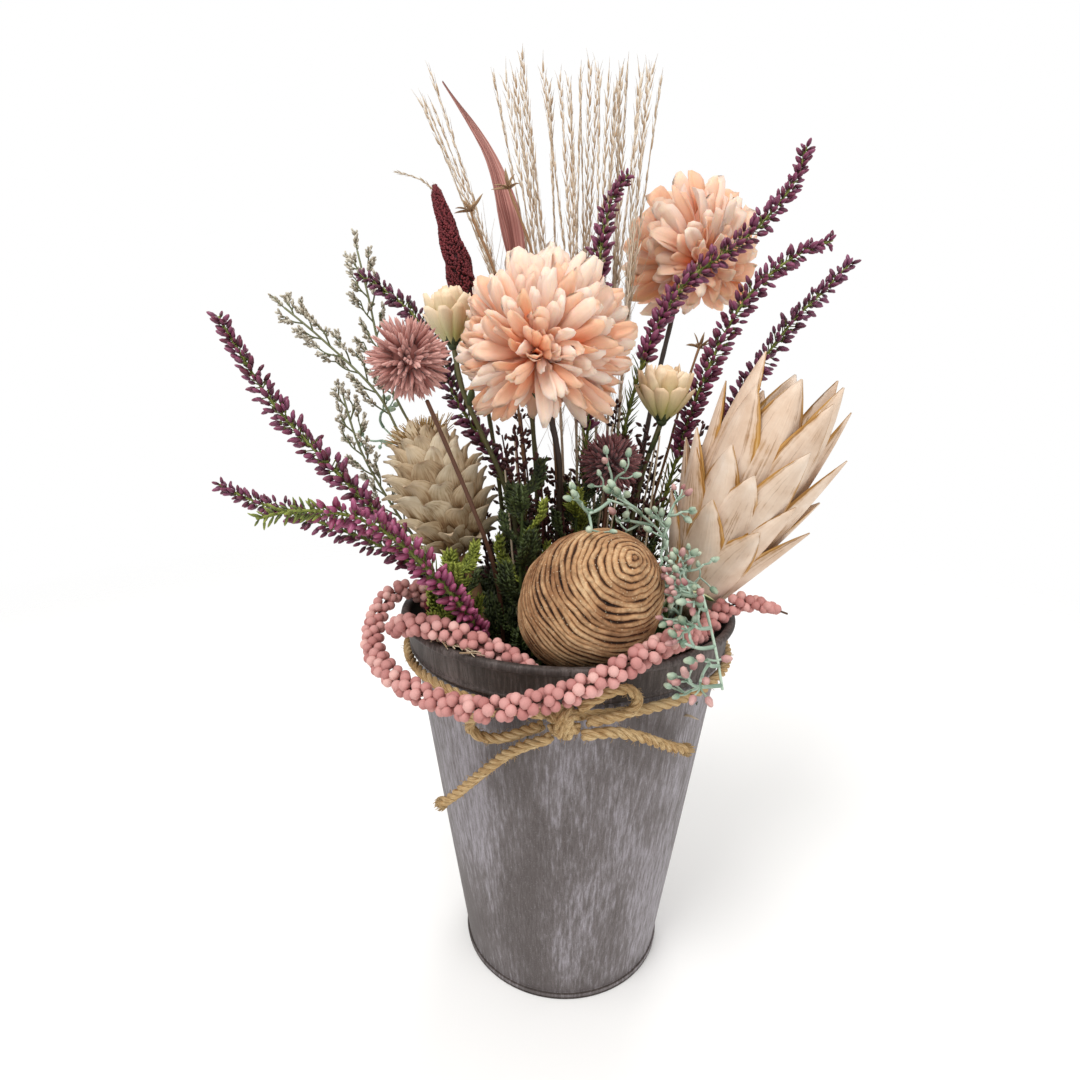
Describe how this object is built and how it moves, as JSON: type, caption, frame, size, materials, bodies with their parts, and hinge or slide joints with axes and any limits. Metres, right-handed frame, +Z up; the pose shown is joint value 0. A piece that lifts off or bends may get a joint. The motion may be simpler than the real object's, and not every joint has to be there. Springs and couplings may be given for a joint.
{
  "type": "flower arrangement in a pot",
  "caption": "Dried and fabric flowers, grasses, heather, a protea and a cedar cone set in foam in a tapered zinc pot with a jute bow and a bead garland.",
  "frame": {"origin": "centre of the pot's foot, on the surface that it stands on", "axes": "+Z up along the pot's axis, -Y towards the front of the arrangement, +X to its right seen from the front"},
  "size_m": [0.283, 0.1954, 0.44],
  "materials": {
    "zinc": "matte",
    "foam": "matte",
    "jute": "matte",
    "beads": "matte",
    "peach_petals": "matte",
    "flower_stem": "satin",
    "bud": "matte",
    "thistle": "matte",
    "amaranth": "matte",
    "dried_leaf": "matte",
    "twig": "matte",
    "grass": "matte",
    "heather": "matte",
    "statice": "matte",
    "artichoke": "matte",
    "protea": "matte",
    "berries": "matte",
    "cone": "matte",
    "foliage": "matte"
  },
  "bodies": {
    "root": {"pot_body": "zinc", "pot_base": "zinc", "floral_foam": "foam", "jute_band": "jute", "jute_knot": "jute", "jute_loop_left": "jute", "jute_loop_right": "jute", "jute_tail_left": "jute", "jute_tail_right": "jute", "garland_front": "beads", "garland_inner": "beads", "chrysanthemum_front_head": "peach_petals", "chrysanthemum_back_head": "peach_petals", "chrysanthemum_front_stem": "flower_stem", "chrysanthemum_back_stem": "flower_stem", "bud_left": "bud", "bud_right": "bud", "thistle_left_head": "thistle", "thistle_right_head": "thistle", "thistle_left_stem": "flower_stem", "thistle_right_stem": "flower_stem", "amaranth_tall": "amaranth", "amaranth_low": "amaranth", "folded_leaf": "dried_leaf", "umbel_twig_left": "twig", "umbel_twig_middle": "twig", "umbel_twig_right": "twig", "artichoke_head": "artichoke", "artichoke_stem": "twig", "protea_head": "protea", "protea_stem": "twig", "cedar_cone": "cone", "cone_pick": "twig", "grass_blade": "foliage", "cypress_left": "foliage", "cypress_middle": "foliage", "cypress_right": "foliage", "grass_plume_1": "grass", "grass_plume_2": "grass", "grass_plume_3": "grass", "grass_plume_4": "grass", "grass_plume_5": "grass", "grass_plume_6": "grass", "grass_plume_7": "grass", "grass_plume_8": "grass", "heather_left_high": "heather", "heather_left_low": "heather", "heather_front": "heather", "heather_upper_left": "heather", "heather_top": "heather", "heather_right_high": "heather", "heather_right_middle": "heather", "heather_right_low": "heather", "statice_tall": "statice", "statice_long": "statice", "statice_short": "statice", "berry_spray_front": "berries", "berry_spray_low": "berries", "berry_spray_right": "berries", "berry_spray_left": "berries"}
  },
  "joints": []
}
